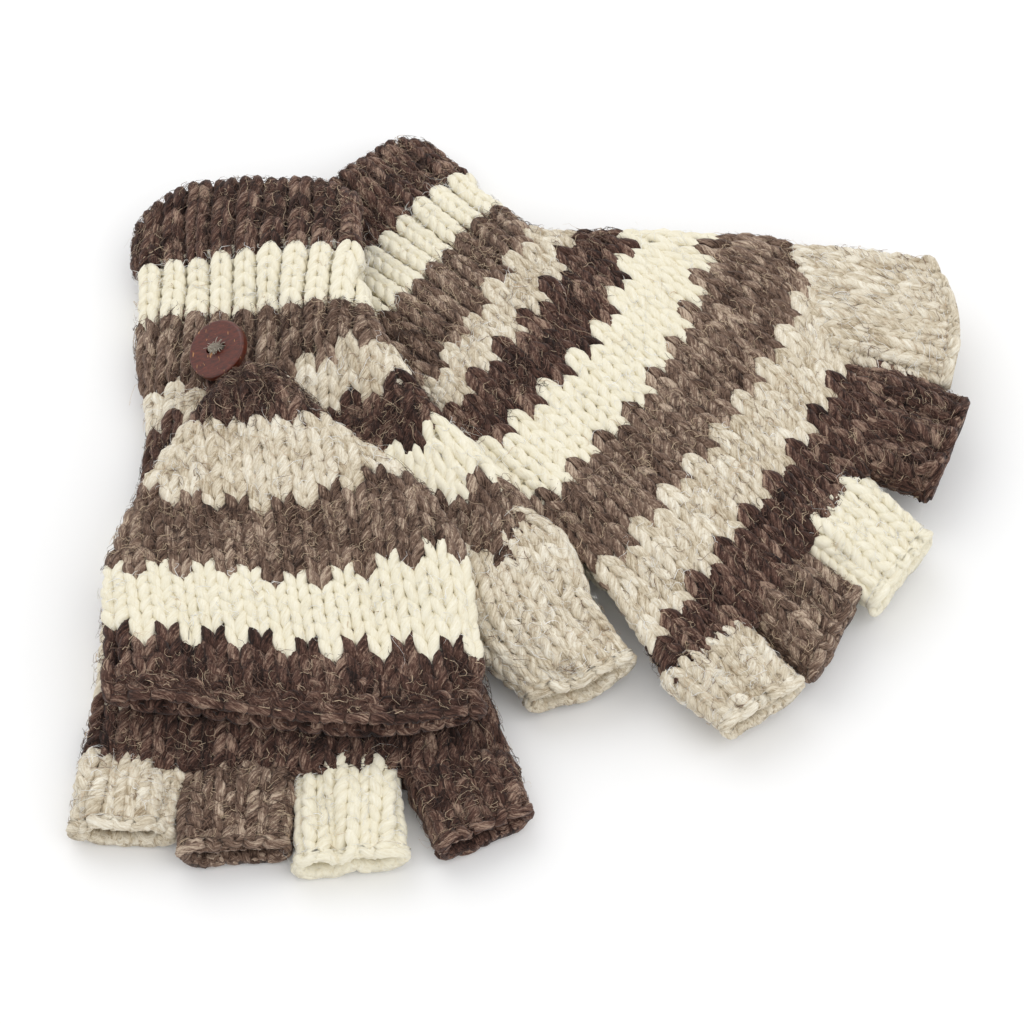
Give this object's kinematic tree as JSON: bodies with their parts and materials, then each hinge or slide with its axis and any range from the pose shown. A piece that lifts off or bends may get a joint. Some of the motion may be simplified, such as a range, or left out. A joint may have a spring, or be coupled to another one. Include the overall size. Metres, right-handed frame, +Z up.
{
  "type": "pair of convertible fingerless gloves",
  "caption": "Pair of striped knitted fingerless gloves with fold-back mitten caps, each held by a loop and a button at the wrist.",
  "frame": {"origin": "middle of the pair's footprint on the surface that the gloves lie on", "axes": "+Z up from that surface; -Y the way the fingers of the right glove point; +X towards the left glove, whose fingers point to +X and -Y"},
  "size_m": [0.2564, 0.254, 0.0355],
  "materials": {
    "dark_brown_wool": "hairy hand-knitted wool, dark brown with lighter flecks",
    "mid_brown_wool": "hairy hand-knitted wool, heathered grey-brown",
    "beige_wool": "hand-knitted wool, marled light grey-beige",
    "cream_wool": "soft hand-knitted wool, undyed cream",
    "coconut_shell": "polished coconut shell with fine light fibre streaks",
    "button_thread": "matt wool sewing thread"
  },
  "bodies": {
    "left_glove": {"left_cuff": "mid_brown_wool", "left_hand": "dark_brown_wool", "left_thumb": "beige_wool", "left_index_finger": "dark_brown_wool", "left_middle_finger": "cream_wool", "left_ring_finger": "mid_brown_wool", "left_little_finger": "beige_wool"},
    "left_cap": {"left_mitten_cap": "mid_brown_wool", "left_cap_rim": "dark_brown_wool", "left_button_loop": "dark_brown_wool"},
    "left_button": {"left_button": "coconut_shell", "left_button_thread": "button_thread"},
    "right_glove": {"right_cuff": "mid_brown_wool", "right_hand": "dark_brown_wool", "right_thumb": "beige_wool", "right_index_finger": "dark_brown_wool", "right_middle_finger": "cream_wool", "right_ring_finger": "mid_brown_wool", "right_little_finger": "beige_wool"},
    "right_cap": {"right_mitten_cap": "mid_brown_wool", "right_cap_rim": "dark_brown_wool", "right_button_loop": "dark_brown_wool"},
    "right_button": {"right_button": "coconut_shell", "right_button_thread": "button_thread"}
  },
  "joints": [
    {"name": "left_cap_hinge", "type": "hinge", "parent": "left_glove", "child": "left_cap", "pos_m": [0.06685, -0.01165, 0.00515], "axis": [-0.5416, -0.8406, 0], "range_deg": [0, 160], "deforming": ["left_button_loop"]},
    {"name": "left_button_turn", "type": "hinge", "parent": "left_glove", "child": "left_button", "pos_m": [-0.0156, 0.05675, 0.00504], "axis": [0, 0, -1], "range_deg": [-90, 90]},
    {"name": "right_glove_lift", "type": "slide", "parent": "left_glove", "child": "right_glove", "axis": [0, 0, 1], "range_m": [0, 0.12]},
    {"name": "right_cap_hinge", "type": "hinge", "parent": "right_glove", "child": "right_cap", "pos_m": [-0.06795, -0.0813, 0.01926], "axis": [0.9999, 0, 0.0166], "range_deg": [0, 160], "deforming": ["right_button_loop"]},
    {"name": "right_button_turn", "type": "hinge", "parent": "right_glove", "child": "right_button", "pos_m": [-0.092, 0.0322, 0.02546], "axis": [-0.4397, -0.181, 0.8797], "range_deg": [-90, 90]}
  ]
}
